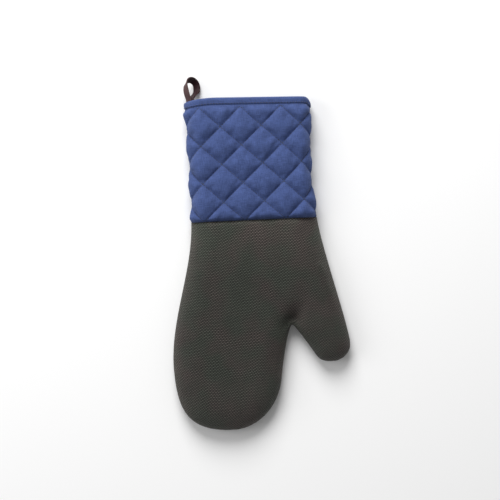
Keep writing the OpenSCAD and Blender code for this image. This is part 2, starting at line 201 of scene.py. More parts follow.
def new_group(name, inputs, outputs):
    tree = bpy.data.node_groups.new(name, "ShaderNodeTree")
    for label, kind, value in inputs:
        s = tree.interface.new_socket(name=label, in_out="INPUT", socket_type="NodeSocket" + kind)
        if value is not None:
            s.default_value = value
    for label, kind in outputs:
        tree.interface.new_socket(name=label, in_out="OUTPUT", socket_type="NodeSocket" + kind)
    return tree, tree.nodes.new("NodeGroupInput").outputs, tree.nodes.new("NodeGroupOutput").inputs


def use_group(tree, group, inputs):
    return add(tree, "ShaderNodeGroup", inputs, node_tree=group).outputs


def bumped(tree, shader, height, distance, strength=1.0):
    bump = add(tree, "ShaderNodeBump", {"Height": height, "Distance": distance, "Strength": strength})
    tree.links.new(bump.outputs["Normal"], shader.inputs["Normal"])


def cloth_mm(tree):
    """The cloth's own flat coordinates, in mm."""
    uv = add(tree, "ShaderNodeUVMap", uv_map="flat_cloth")
    return scaled(tree, uv.outputs[0], uv_unit)


# Plain weave with threads of uneven shade, as in a chambray.
weave, g_in, g_out = new_group(
    "plain weave",
    [("Place mm", "Vector", None), ("Thread mm", "Float", 0.5), ("Warp", "Color", (1, 1, 1, 1)),
     ("Weft", "Color", (1, 1, 1, 1)), ("Unevenness", "Float", 0.5)],
    [("Color", "Color"), ("Height", "Float"), ("Slubs", "Float")],
)
parts = add(weave, "ShaderNodeSeparateXYZ", {0: g_in["Place mm"]})
turn = maths(weave, "DIVIDE", math.pi, g_in["Thread mm"])
over_x = maths(weave, "SINE", maths(weave, "MULTIPLY", parts.outputs[0], turn))
over_y = maths(weave, "SINE", maths(weave, "MULTIPLY", parts.outputs[1], turn))
over = maths(weave, "MULTIPLY", over_x, over_y)
along_x = add(weave, "ShaderNodeMapping", {0: g_in["Place mm"], 3: (0.16, 1.7, 1.0)})
along_y = add(weave, "ShaderNodeMapping", {0: g_in["Place mm"], 3: (1.7, 0.16, 1.0)})
slub_x = add(weave, "ShaderNodeTexNoise", {"Vector": along_x.outputs[0], "Scale": 1.0, "Detail": 2.0})
slub_y = add(weave, "ShaderNodeTexNoise", {"Vector": along_y.outputs[0], "Scale": 1.0, "Detail": 2.0})
slubs = maths(weave, "MULTIPLY", maths(weave, "ADD", slub_x.outputs[0], slub_y.outputs[0]), 0.5)
both = mixed(weave, ranged(weave, over, -0.6, 0.6), g_in["Warp"], g_in["Weft"])
shade = maths(weave, "MULTIPLY", ranged(weave, slubs, 0.32, 0.68, -1.0, 1.0), g_in["Unevenness"])
level = maths(weave, "MULTIPLY_ADD", shade, 0.5, 1.0)
weave.links.new(scaled(weave, both, level), g_out["Color"])
thick = maths(weave, "MULTIPLY", slubs, 0.6)
weave.links.new(maths(weave, "MULTIPLY_ADD", maths(weave, "ABSOLUTE", over), 0.7, thick), g_out["Height"])
weave.links.new(slubs, g_out["Slubs"])

# Broad, soft changes of shade, from handling and washing.
mottle, g_in, g_out = new_group(
    "soft mottling",
    [("Place mm", "Vector", None), ("Size mm", "Float", 20.0), ("Color", "Color", (1, 1, 1, 1)),
     ("Amount", "Float", 0.1)],
    [("Color", "Color")],
)
fineness = maths(mottle, "DIVIDE", 1.0, g_in["Size mm"])
cloud = add(mottle, "ShaderNodeTexNoise", {
    "Vector": g_in["Place mm"], "Scale": fineness, "Detail": 4.0, "Roughness": 0.6,
})
spread = ranged(mottle, cloud.outputs[0], 0.3, 0.7, -1.0, 1.0)
level = maths(mottle, "MULTIPLY_ADD", spread, g_in["Amount"], 1.0)
mottle.links.new(scaled(mottle, g_in["Color"], level), g_out["Color"])


def woven_cloth(name, threads, patches, thick_rough, thin_rough, weave_height):
    """A plain-woven cloth: its threads, its patches of changed shade, how rough its thick and thin
    threads are, and how high the weave stands, in metres."""
    material, tree, shader = tree_of(name)
    place = cloth_mm(tree)
    woven = use_group(tree, weave, {"Place mm": place, **threads})
    faded = use_group(tree, mottle, {"Place mm": place, "Color": woven["Color"], **patches})
    tree.links.new(faded["Color"], shader.inputs["Base Color"])
    rough = ranged(tree, woven["Slubs"], 0.3, 0.7, thin_rough, thick_rough)
    tree.links.new(rough, shader.inputs["Roughness"])
    bumped(tree, shader, woven["Height"], weave_height, 0.8)
    return material, shader


dark_blue, light_blue = (0.036, 0.062, 0.190, 1), (0.072, 0.108, 0.262, 1)
threads = {"Thread mm": 0.55, "Warp": dark_blue, "Weft": light_blue, "Unevenness": 0.6}
patches = {"Size mm": 9.0, "Amount": 0.10}
blue_cotton, shader = woven_cloth(
    "blue cotton", threads, patches, thick_rough=0.82, thin_rough=0.98, weave_height=0.00025,
)
shader.inputs["Specular IOR Level"].default_value = 0.25
shader.inputs["Sheen Weight"].default_value = 0.12
shader.inputs["Sheen Roughness"].default_value = 0.5
shader.inputs["Sheen Tint"].default_value = (0.55, 0.65, 0.95, 1)


def cuff_profile(front):
    """Half of the cuff's section from its middle to the side seam: place and outward direction
    at each distance round it."""
    rise = (cuff_top if front else cuff_low) - seam_height
    corner = np.linspace(math.pi / 2, 0, 60)
    x = np.concatenate([[0.0], cuff_half - side_round + side_round * np.cos(corner)])
    z = np.concatenate([[seam_height + rise], seam_height + rise * np.sin(corner)])
    nx = np.concatenate([[0.0], np.cos(corner) * abs(rise)])
    nz = np.concatenate([[side_round * np.sign(rise)], np.sin(corner) * side_round * np.sign(rise)])
    length = np.hypot(nx, nz)
    run = np.concatenate([[0.0], np.cumsum(np.hypot(np.diff(x), np.diff(z)))])
    return run / run[-1] * panel_half, x, z, nx / length, nz / length


profiles = {True: cuff_profile(True), False: cuff_profile(False)}


def cuff_point(s, y, lift, front=True):
    """A point of the cuff: s round it from the middle, y along it, and lift out of its cloth."""
    s, y, lift = np.broadcast_arrays(np.asarray(s, float), np.asarray(y, float), np.asarray(lift, float))
    run, px, pz, nx, nz = profiles[front]
    a = np.abs(s)
    side = np.where(s < 0, -1.0, 1.0)
    x = np.interp(a, run, px) + np.interp(a, run, nx) * lift
    z = np.interp(a, run, pz) + np.interp(a, run, nz) * lift
    # the sides are drawn in a little between the mouth and the wrist
    from_waist = np.where(y > waist_y, (y - waist_y) / waist_to_mouth, (waist_y - y) / waist_y)
    near_side = np.clip(x / cuff_half, 0, 1.1) ** 3
    drawn_in = waist_share - waist_eased * from_waist**2
    x = side * x * (1 - drawn_in * near_side) - 1.5 * smooth(0, 45, y) * near_side
    # the mouth's edge leans, and drops where the cloth turns round at its corners
    drop = drop_left * np.clip((-x - 34) / 31.5, 0, 1) ** 1.8
    drop += drop_right * np.clip((x - 55) / 8.5, 0, 1) ** 3
    y = y + (1.3 - mouth_lean * x - drop) * smooth(98, cuff_length, y)
    # the seam at the wrist draws the cloth in
    if front:
        z = z - wrist_draw * np.exp(-((y / 1.3) ** 2)) * np.clip((z - seam_height) / 8, 0, 1)
    else:
        z = np.maximum(z, table_gap)
    return np.stack([x, y, z], -1)


# The panel's grid has cloth_step cells to a diamond, so that every sewn line runs through grid points.
first_column = math.ceil((-panel_half - diamond_x) / diamond_w * cloth_step)
last_column = math.floor((panel_half - diamond_x) / diamond_w * cloth_step)
columns = np.arange(first_column, last_column + 1)
rows = np.arange(0, int((cuff_length - binding_width + 0.4) / diamond_l * cloth_step) + 1)
panel_s = np.concatenate([[-panel_half], diamond_x + columns * diamond_w / cloth_step, [panel_half]])
panel_y = rows * diamond_l / cloth_step
on_line = np.zeros((len(rows), len(panel_s)), bool)
on_line[:, 1:-1] = (rows[:, None] + columns[None]) % cloth_step == 0
on_line[:, 1:-1] |= (rows[:, None] - columns[None]) % cloth_step == 0
grid_s, grid_y = np.meshgrid(panel_s, panel_y)


def cuts_along_lines(rows, columns, step):
    """Which cells a sewn line crosses from corner to corner: 1 rising to the right, 2 falling."""
    cuts = np.zeros((len(rows) - 1, len(columns) + 1), int)
    cuts[:, 1:-1][(rows[:-1, None] - columns[None, :-1]) % cloth_step == 0] = 1
    cuts[:, 1:-1][(rows[:-1, None] + columns[None, :-1] + step) % cloth_step == 0] = 2
    return cuts


cell_cuts = cuts_along_lines(rows, columns, 1)


def puffed(height, pressure, slack, seed):
    """How the quilted cloth stands over its padding: it is held along its stitching and blown up
    from below, with a little more cloth than the space between the lines."""
    # the panel is blown up at ten times its real size, and no point may go further than these
    sim_unit, blown_frames = 100, 24
    most_slide, most_lift = 2.5, 7.0
    u = (grid_s - diamond_x) / diamond_w + grid_y / diamond_l
    v = (grid_s - diamond_x) / diamond_w - grid_y / diamond_l
    bulge = np.abs(np.sin(math.pi * u) * np.sin(math.pi * v)) ** 0.38
    from_side, from_mouth = panel_half - np.abs(grid_s), panel_y[-1] - grid_y
    edges = np.minimum.reduce([smooth(0, 7, from_side), smooth(-0.5, 6, grid_y), smooth(-0.5, 6, from_mouth)])
    rng = np.random.default_rng(seed)
    waves = rng.uniform([-0.55, -0.55, 0], [0.55, 0.55, 2 * math.pi], (16, 3))
    uneven = sum(np.sin(a * grid_s + b * grid_y + c) for a, b, c in waves) / 4
    flat = np.stack([grid_s, grid_y, 0 * grid_s], -1)
    start = flat + np.stack([0 * u, 0 * u, (height + 0.45 * uneven) * bulge * edges], -1)
    held = on_line.copy()
    held[0, :] = held[-1, :] = True
    held[:, 0] = held[:, -1] = True
    start[held, 2] = 0
    mesh = bpy.data.meshes.new("quilt")
    mesh.from_pydata([tuple(p / sim_unit) for p in start.reshape(-1, 3)], [], grid_faces(*grid_s.shape))
    sheet = bpy.data.objects.new("quilt", mesh)
    bpy.context.scene.collection.objects.link(sheet)
    pins = sheet.vertex_groups.new(name="held")
    pins.add([int(i) for i in np.flatnonzero(held.ravel())], 1.0, "REPLACE")
    cloth = sheet.modifiers.new("cloth", "CLOTH")
    c = cloth.settings
    c.quality = 5
    c.mass = 0.15
    c.tension_stiffness = c.compression_stiffness = 30
    c.shear_stiffness = 15
    c.bending_stiffness = 1.5
    c.tension_damping = c.compression_damping = c.shear_damping = 15
    c.bending_damping = 1.0
    c.air_damping = 5
    c.vertex_group_mass = "held"
    c.shrink_min = -slack
    c.use_pressure = True
    c.uniform_pressure_force = pressure
    c.effector_weights.gravity = 0
    cloth.collision_settings.use_collision = False
    scene = bpy.context.scene
    cloth.point_cache.frame_start, cloth.point_cache.frame_end = 1, blown_frames
    for f in range(1, blown_frames + 1):
        scene.frame_set(f)
    done = sheet.evaluated_get(bpy.context.evaluated_depsgraph_get())
    result = np.empty(len(done.data.vertices) * 3, np.float32)
    done.data.vertices.foreach_get("co", result)
    moved = result.reshape(start.shape).astype(float) * sim_unit - flat
    bpy.data.objects.remove(sheet)
    bpy.data.meshes.remove(mesh)
    scene.frame_set(1)
    moved[..., :2] = np.clip(moved[..., :2], -most_slide, most_slide)
    moved[..., 2] = np.clip(moved[..., 2], 0, most_lift)
    eased = moved.copy()
    eased[1:-1, 1:-1] = (moved[:-2, 1:-1] + moved[2:, 1:-1] + moved[1:-1, :-2] + moved[1:-1, 2:]) / 4
    return flat + np.where(held[..., None], moved, 0.4 * moved + 0.6 * eased)


front_quilt = puffed(height=3.7, pressure=8.0, slack=0.035, seed=3)
flat_cuff = np.stack([grid_s, grid_y], -1)
cuff_pieces = []

for side in ("front", "back"):
    front = side == "front"
    # the back's puffs are pressed flat by the table
    lift = front_quilt[..., 2] if front else np.minimum(front_quilt[..., 2] * 0.4, 1.3)
    outside = cuff_point(front_quilt[..., 0], front_quilt[..., 1], lift, front)
    inside = cuff_point(front_quilt[..., 0], front_quilt[..., 1], lift - cover_thick, front)
    if front:
        cover = closed_sheet("cuff_cover_front_cloth", outside, inside, flat_cuff, blue_cotton, cell_cuts)
    else:
        # cut from another place in the same cloth
        other_place = flat_cuff + 300
        cover = closed_sheet("cuff_cover_back_cloth", inside, outside, other_place, blue_cotton, cell_cuts)
    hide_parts("cuff_cover_" + side)
    cuff_pieces.append(cover)

# ---------------------------------------------------------------------------
# Cuff padding and lining
# A layer of pale felt between the cover and a plain grey lining. Both follow the cover,
# and the lining is drawn in by the same stitching.
# ---------------------------------------------------------------------------
pale_felt, tree, shader = tree_of("pale felt")
place = cloth_mm(tree)
fibres = add(tree, "ShaderNodeTexNoise", {
    "Vector": place, "Scale": 1.6, "Detail": 6.0, "Roughness": 0.75, "Distortion": 1.2,
})
tint = ranged(tree, fibres.outputs[0], 0.3, 0.7, 0.42, 0.62)
clumps = use_group(tree, mottle, {"Place mm": place, "Size mm": 6.0, "Color": tint, "Amount": 0.12})
tree.links.new(clumps["Color"], shader.inputs["Base Color"])
shader.inputs["Roughness"].default_value = 1.0
shader.inputs["Sheen Weight"].default_value = 0.4
bumped(tree, shader, fibres.outputs[0], 0.0006)

dark_grey, light_grey = (0.30, 0.295, 0.29, 1), (0.38, 0.37, 0.36, 1)
threads = {"Thread mm": 0.7, "Warp": dark_grey, "Weft": light_grey, "Unevenness": 0.3}
patches = {"Size mm": 14.0, "Amount": 0.08}
grey_lining, shader = woven_cloth(
    "grey lining", threads, patches, thick_rough=0.85, thin_rough=1.0, weave_height=0.0003,
)
shader.inputs["Sheen Weight"].default_value = 0.2

# the layers below follow every fourth line of the cover's grid
skip = 4
row_at = np.flatnonzero(rows % skip == 0)
column_at = np.flatnonzero(columns % skip == 0)
coarse = np.ix_(np.append(row_at, len(rows) - 1), np.concatenate([[0], column_at + 1, [len(panel_s) - 1]]))
coarse_cuts = np.zeros((len(row_at), len(column_at) + 1), int)
coarse_cuts[:-1] = cuts_along_lines(rows[row_at], columns[column_at], skip)
padding_low, lining_low = -4.4, -5.1
for side in ("front", "back"):
    front = side == "front"
    q = front_quilt[coarse]
    lift = np.minimum(q[..., 2], 3.0) * (1.0 if front else 0.35)
    near_mouth = smooth(cuff_length - binding_width - 5, cuff_length - binding_width, q[..., 1])
    top = cuff_point(q[..., 0], q[..., 1], lift - 0.95 - 0.4 * near_mouth, front)
    middle = cuff_point(q[..., 0], q[..., 1], padding_low + 0.9 * near_mouth - 0.25 * lift, front)
    bottom = cuff_point(q[..., 0], q[..., 1], lining_low + 1.5 * near_mouth - 0.35 * lift, front)
    flat = flat_cuff[coarse]
    if front:
        padding = closed_sheet("cuff_padding_front", top, middle, flat, pale_felt, coarse_cuts)
        lining = closed_sheet("cuff_lining_front_cloth", middle, bottom, flat, grey_lining, coarse_cuts)
    else:
        padding = closed_sheet("cuff_padding_back", middle, top, flat, pale_felt, coarse_cuts)
        lining = closed_sheet("cuff_lining_back_cloth", bottom, middle, flat, grey_lining, coarse_cuts)
    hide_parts("cuff_batting_" + side)
    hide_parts("cuff_lining_" + side)
    cuff_pieces += [padding, lining]

# ---------------------------------------------------------------------------
# Thread: quilting, binding, side and wrist stitches
# Dark blue twisted thread. Every stitch is its own short piece, pulled into the cloth at
# both ends.
# ---------------------------------------------------------------------------
sewing_thread, tree, shader = tree_of("sewing thread")
place = cloth_mm(tree)
ply = add(
    tree, "ShaderNodeTexWave", {"Vector": place, "Scale": 1.1, "Distortion": 0.6, "Detail": 1.0},
    wave_type="BANDS", bands_direction="DIAGONAL",
)
dye = mixed(tree, ply.outputs["Fac"], (0.006, 0.009, 0.022, 1), (0.022, 0.030, 0.066, 1))
tree.links.new(dye, shader.inputs["Base Color"])
shader.inputs["Roughness"].default_value = 0.55
shader.inputs["Sheen Weight"].default_value = 0.15
bumped(tree, shader, ply.outputs["Fac"], 0.00012)


def stitch_piece(name, lines, pitch, length, radius, sink=0.45):
    """Stitches along lines, each a (points, directions out of the cloth) pair in mm."""
    sides = 6
    # along the stitch: how far along, how thick, and how high it stands
    half_shape = np.array([[0.0, 0.45, -1.0], [0.12, 0.85, -0.35], [0.35, 1.0, 0.1]])
    shape = np.concatenate([half_shape, (half_shape * [-1, 1, 1] + [1, 0, 0])[::-1]])
    points, faces, uvs = [], [], []
    angle = np.arange(sides) * 2 * math.pi / sides
    for path, out in lines:
        path, out = np.asarray(path, float), np.asarray(out, float)
        run = np.concatenate([[0.0], np.cumsum(np.linalg.norm(np.diff(path, axis=0), axis=1))])
        for k in range(int((run[-1] - length) / pitch) + 1):
            at = k * pitch + shape[:, 0] * length
            centre = np.stack([np.interp(at, run, path[:, i]) for i in range(3)], -1)
            up = np.stack([np.interp(at, run, out[:, i]) for i in range(3)], -1)
            up /= np.linalg.norm(up, axis=1)[:, None]
            ahead = centre[-1] - centre[0]
            ahead /= np.linalg.norm(ahead)
            across = np.cross(ahead, up)
            centre = centre + up * (shape[:, 2:] * sink * radius * 2)
            base = len(points)
            for i in range(len(shape)):
                for w in angle:
                    around = math.cos(w) * across[i] + math.sin(w) * up[i]
                    points.append(centre[i] + shape[i, 1] * radius * around)
                    uvs.append([at[i], w * 2])
            faces += grid_faces(len(shape), sides, base, flip=True, close=True)
            faces.append([base + j for j in range(sides)])
            faces.append([base + (len(shape) - 1) * sides + j for j in range(sides)][::-1])
    return new_piece(name, points, faces, uvs, sewing_thread)


def on_cuff(s, y, front, lift):
    """A sewn line on the cuff: its points and the directions out of the cloth."""
    here = cuff_point(s, y, lift, front)
    return here, here - cuff_point(s, y, lift - 1.0, front)


quilt_spans = []
for way in (-1, 1):
    for k in range(-6, 8):
        y = np.arange(1.2, panel_y[-1] - 0.5, 0.6)
        s = diamond_x + k * diamond_w + way * y * diamond_w / diamond_l
        keep = np.abs(s) < panel_half - 1.5
        if keep.sum() > 8:
            quilt_spans.append((s[keep], y[keep]))
for side in ("front", "back"):
    front = side == "front"
    lines = [on_cuff(s, y, front, 0.12) for s, y in quilt_spans]
    quilting = stitch_piece("quilting_stitches_" + side, lines, pitch=3.1, length=2.5, radius=0.34)
    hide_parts("quilting_thread_" + side)
    cuff_pieces.append(quilting)

round_cuff = np.arange(-panel_half + 1.5, panel_half - 1.5, 0.8)
above_edge = cuff_length - binding_width + 1.1
lines = [on_cuff(round_cuff, 0 * round_cuff + above_edge, f, 1.12) for f in (True, False)]
binding_sewing = stitch_piece("binding_stitch_row", lines, pitch=3.0, length=2.2, radius=0.26)
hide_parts("binding_stitches")
lines = [on_cuff(round_cuff, 0 * round_cuff + 0.9, f, -0.1) for f in (True, False)]
wrist_sewing = stitch_piece("wrist_stitch_row", lines, pitch=3.6, length=2.6, radius=0.30)
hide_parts("wrist_seam_stitches")
seam_y = np.arange(3.0, cuff_length - binding_width - 2, 1.0)
lines = []
for side in (-1, 1):
    here = cuff_point(0 * seam_y + side * panel_half, seam_y, -0.15, True)
    lines.append((here, here * 0 + np.array([side, 0.0, 0.0])))
side_sewing = stitch_piece("cuff_side_stitch_rows", lines, pitch=4.0, length=2.6, radius=0.30)
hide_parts("cuff_side_stitches")
for sewing in (binding_sewing, wrist_sewing, side_sewing):
    cuff_pieces.append(sewing)

# ---------------------------------------------------------------------------
# Mouth binding
# A strip of the same blue cotton folded over the cuff's raw edge and sewn through near
# its lower edge, where the stitching draws it in.
# ---------------------------------------------------------------------------
strip_length, strip_place = 300, 500
half_ring = 259
round_half = np.linspace(-panel_half, panel_half, half_ring + 1)
ring_s = np.concatenate([round_half[:-1], round_half[:0:-1]])
# the folded strip's section: how far out of the cuff, and how far up from the strip's lower edge
fold_top = 7.4
section = np.array([
    [0.55, -0.1], [0.95, 0.2], [1.15, 0.9], [1.0, 1.5], [1.25, 2.6], [1.3, 4.2], [1.15, 5.6], [0.6, 6.7],
    [-0.8, fold_top],
    [-2.2, 6.7], [-2.8, 5.6], [-3.0, 4.2], [-3.0, 2.6], [-2.8, 1.5], [-2.9, 0.9], [-2.6, 0.1], [-2.2, 0.3],
    [-2.0, 1.5], [-2.0, 5.4], [-0.8, 6.2], [0.25, 5.4], [0.3, 1.5], [0.35, 0.4],
])
out_by, up_by = section.T
around = np.concatenate([[0], np.cumsum(np.hypot(*np.diff(section, axis=0).T))])
total, count = len(ring_s), len(section)
rng = np.random.default_rng(11)
wander = np.convolve(np.tile(rng.standard_normal(total), 3), np.hanning(23) / 11, "same")[total:2 * total]
wander *= 0.12
tug = 0.10 * np.sin(np.arange(total) * 2 * math.pi / (total / 100))
points, uvs = [], []
for k, s in enumerate(ring_s):
    drawn = np.where((up_by < 2.4) & (out_by > 0), tug[k], 0.0) + wander[k] * (out_by > -1.5)
    y = cuff_length - binding_width + up_by * (binding_width / fold_top) + wander[k] * (up_by < 2)
    points.append(cuff_point(0 * y + s, y, out_by + drawn - 0.35, k < half_ring))
    uvs.append(np.stack([0 * around + k * strip_length / total + strip_place, around], -1))
faces = []
for k in range(total):
    for j in range(count):
        a, b = (k + 1) % total, (j + 1) % count
        faces.append([k * count + j, a * count + j, a * count + b, k * count + b])
points, uvs = np.reshape(points, (-1, 3)), np.reshape(uvs, (-1, 2))
binding = new_piece("mouth_binding_strip", points, faces, uvs, blue_cotton)
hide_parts("mouth_binding")
cuff_pieces.append(binding)

# ---------------------------------------------------------------------------
# Hand: shell and lining
# Front and back panels of dark, embossed neoprene-like sheet with a soft lining, sewn face
# to face and turned, so that the edge is a rolled seam. The sheet is one piece over the
# palm, the fingers and the thumb; it is cut here where it bends between the moving bodies.
# ---------------------------------------------------------------------------
hand_top = 27.0
shell_thick, lining_thick = 3.0, 1.0
roll = 26.0
left_x, right_x = -89.2, 92.8
tip_x, tip_y = -31, -214.0
wide_y = -144.0
crotch = np.array([34.0, -109.1])
knuckle_y, thumb_root_y = -100.4, -74.2


def curve(a, b, c, d, n):
    """n points along a Bezier curve from a to d, without a itself."""
    a, b, c, d = (np.array(p, float) for p in (a, b, c, d))
    t = np.linspace(0, 1, n + 1)[1:, None]
    u = 1 - t
    return u**3 * a + 3 * u * u * t * b + 3 * u * t * t * c + t**3 * d


knuckle = crotch + [-0.9, -0.6]
root = crotch + [0.9, 0.0]
left_side = np.concatenate([
    [[-cuff_half, 0]],
    curve([-cuff_half, 0], [-65, -48], [left_x, -95], [left_x, wide_y], 60),
    curve([left_x, wide_y], [left_x + 1, wide_y - 47.5], [left_x + 11.3, tip_y], [tip_x, tip_y], 60),
])
pocket_turn = [20.8, -164.8]
pocket_right = np.concatenate([
    [knuckle],
    curve(knuckle, knuckle + [-4.5, -7], [22.3, -150.8], pocket_turn, 36),
    curve(pocket_turn, [15.1, -197.6], [-9.6, tip_y], [tip_x, tip_y], 45),
])
thumb_bottom = np.array([73.4, -148.1])
thumb_turn = root + [23.1, -32.5]
thumb_inner = np.concatenate([
    [root],
    curve(root, root + [5, -4.5], root + [18.1, -25], thumb_turn, 30),
    curve(thumb_turn, root + [26.6, -37.5], thumb_bottom + [-8, 0], thumb_bottom, 24),
])
thumb_wide = [right_x, -128.7]
right_side = np.concatenate([
    [[cuff_half, 0]],
    curve([cuff_half, 0], [67.7, -30], [90.2, -104.8], thumb_wide, 60),
    curve(thumb_wide, [right_x + 1, -139.5], thumb_bottom + [11.9, 0], thumb_bottom, 30),
])
notch_arc = np.array([knuckle, crotch + [0.0, -0.1], root])
outline = [left_side, pocket_right, notch_arc, thumb_inner, right_side]


def resampled(line, n):
    run = np.concatenate([[0.0], np.cumsum(np.linalg.norm(np.diff(line, axis=0), axis=1))])
    at = np.linspace(0, run[-1], n)
    return np.stack([np.interp(at, run, line[:, 0]), np.interp(at, run, line[:, 1])], -1)


def split(line, y):
    """The line's parts above and below a height, ending on it."""
    k = int(np.argmax(line[:, 1] < y))
    t = (y - line[k - 1, 1]) / (line[k, 1] - line[k - 1, 1])
    cut = line[k - 1] + t * (line[k] - line[k - 1])
    return np.concatenate([line[:k], [cut]]), np.concatenate([[cut], line[k:]])


palm_left, pocket_left = split(left_side, knuckle_y)
palm_right, thumb_outer = split(right_side, thumb_root_y)

# Height of the cloth over a fine grid, from each point's distance to the edge.
cell, margin = 0.5, 6
map_x = np.arange(left_x - margin, right_x + margin, cell)
map_y = np.arange(tip_y - margin, margin, cell)
grid_x, grid_yy = np.meshgrid(map_x, map_y)
gap = np.full(grid_x.shape, 1e9)
for line in outline:
    for a, b in zip(line[:-1], line[1:]):
        ab = b - a
        t = np.clip(((grid_x - a[0]) * ab[0] + (grid_yy - a[1]) * ab[1]) / max(ab @ ab, 1e-9), 0, 1)
        gap = np.minimum(gap, np.hypot(grid_x - a[0] - t * ab[0], grid_yy - a[1] - t * ab[1]))


def blurred(field, size):
    reach = int(3 * size / cell)
    kernel = np.exp(-0.5 * (np.arange(-reach, reach + 1) * cell / size) ** 2)
    kernel /= kernel.sum()
    for axis in (0, 1):
        padded = np.pad(field, [(reach, reach) if i == axis else (0, 0) for i in (0, 1)], mode="edge")
        field = np.apply_along_axis(lambda v: np.convolve(v, kernel, "valid"), axis, padded)
    return field


soft_gap = gap + (blurred(gap, 5.0) - gap) * smooth(3, 12, gap)


def ridge(start, end, size, widening):
    """A long soft hump from one point to another: 1 high at its start, a quarter of that at its end."""
    a, b = np.array(start, float), np.array(end, float)
    ab = b - a
    t = ((grid_x - a[0]) * ab[0] + (grid_yy - a[1]) * ab[1]) / (ab @ ab)
    along = np.clip(t, 0, 1)
    away = np.hypot(grid_x - a[0] - along * ab[0], grid_yy - a[1] - along * ab[1])
    return np.exp(-0.5 * (away / (size * (1 + widening * along))) ** 2) * (1 - 0.75 * along)


rng = np.random.default_rng(5)
lumps = blurred(rng.standard_normal(grid_x.shape), 9.0)
lumps /= np.abs(lumps).max()
# Folds of the empty hand: how deep, or how high if negative, then from where to where, how wide
# at the start, and by what share it widens.
folds = [
    (10.5, crotch, crotch + [14, 24], 4.4, 1.3),
    (2.4, crotch + [-4, -6], crotch + [-16, 22], 6.0, 1.2),
    (-2.0, (66, -50), (83, -97), 3.2, 0.2),
    (-1.6, (46, -104), (58, -78), 3.6, 0.4),
    (1.4, (0, -150), (-20, -60), 16.0, 0.2),
]
sag = sum(deep * ridge(start, end, wide, widening) for deep, start, end, wide, widening in folds)
sag = (sag + 0.5 * lumps) * smooth(0.5, 9, gap)
flat_rise = np.sqrt(1 - (1 - np.clip(soft_gap / roll, 0, 1)) ** 2)
wrist_dip = wrist_draw * np.exp(-np.abs(grid_yy / 1.6) ** 1.5) * flat_rise
height_maps = {
    True: seam_height + (hand_top - seam_height) * flat_rise - sag - wrist_dip,
    False: seam_height - (seam_height - 0.2) * flat_rise,
}


def sampled(field, x, y):
    fx = np.clip((x - map_x[0]) / cell, 0, len(map_x) - 1.001)
    fy = np.clip((y - map_y[0]) / cell, 0, len(map_y) - 1.001)
    i, j = fy.astype(int), fx.astype(int)
    u, v = fx - j, fy - i
    lower = field[i, j] * (1 - u) + field[i, j + 1] * u
    upper = field[i + 1, j] * (1 - u) + field[i + 1, j + 1] * u
    return lower * (1 - v) + upper * v


def slope(field, points, reach):
    """How fast a map rises to the right and up the hand."""
    x, y = points[..., 0], points[..., 1]
    rise_x = sampled(field, x + reach, y) - sampled(field, x - reach, y)
    rise_y = sampled(field, x, y + reach) - sampled(field, x, y - reach)
    return np.stack([rise_x, rise_y], -1) / (2 * reach)


def inward(line):
    """Unit directions into the hand from each point of an edge line that runs down."""
    d = np.gradient(line, axis=0)
    d /= np.linalg.norm(d, axis=1)[:, None]
    return np.stack([-d[:, 1], d[:, 0]], -1)


def slanted(direction, n):
    return direction / max(0.5, float(direction @ n))


def zone(left, right, rims, cols):
    """One zone of the hand between two lists of (point, inward move per mm of depth)."""
    share = (1 - np.cos(np.linspace(0, math.pi, cols))) / 2
    spread = share[None, :, None]

    def at(depth):
        a = left[0] + depth * left[1]
        b = right[0] + depth * right[1]
        return a[:, None] + (b - a)[:, None] * spread

    nominal = at(0.0)
    level = np.minimum(1, sampled(flat_rise, nominal[..., 0], nominal[..., 1]))
    level[:, 0] = 0
    level[rims, -1] = 0
    return at, nominal, level


def hand_grid(at, nominal, level, depth, front):
    xy = at(depth)
    top = sampled(height_maps[front], nominal[..., 0], nominal[..., 1])
    z = np.where(level > 0, top, seam_height)
    z = z - depth * level * (1 if front else -1)
    return np.concatenate([xy, z[..., None]], -1)


def outward_normals(nominal, front):
    lean = slope(height_maps[front], nominal, reach=0.7)
    n = np.concatenate([-lean, 0 * lean[..., :1] + 1], -1)
    n /= np.linalg.norm(n, axis=-1)[..., None]
    return n if front else -n


def laid_flat(at, nominal):
    """The sheet's own flat coordinates: what climbs the rolled edge is laid out past the outline."""
    from_edge = np.linspace(0, roll, 300)
    climb = (hand_top - seam_height) * np.sqrt(1 - (1 - from_edge / roll) ** 2)
    longer = np.hypot(np.diff(from_edge), np.diff(climb)) - np.diff(from_edge)
    extra = np.append(np.cumsum(longer[::-1])[::-1], 0)
    past = np.interp(sampled(gap, nominal[..., 0], nominal[..., 1]), from_edge, extra)
    return nominal - slope(gap, at(2.0), reach=1.0) * past[..., None]


def unit(v):
    return v / np.linalg.norm(v)


def tip_zone(left, right, rows, cols):
    """The finger pocket or the thumb, from the line where it bends to its tip."""
    a, b = resampled(left, rows + 1)[:-1], resampled(right, rows + 1)[:-1]
    move_a, move_b = inward(a), -inward(b)
    line_dir = unit(b[0] - a[0])
    move_a[0], move_b[0] = slanted(line_dir, move_a[0]), slanted(-line_dir, move_b[0])
    return zone((a, move_a), (b, move_b), np.arange(rows), cols)


zones = {}
zones["fingers"] = tip_zone(pocket_left, pocket_right, 56, 61)
zones["thumb"] = tip_zone(thumb_inner, thumb_outer, 40, 45)
thumb_line = (thumb_inner[0], thumb_outer[0])
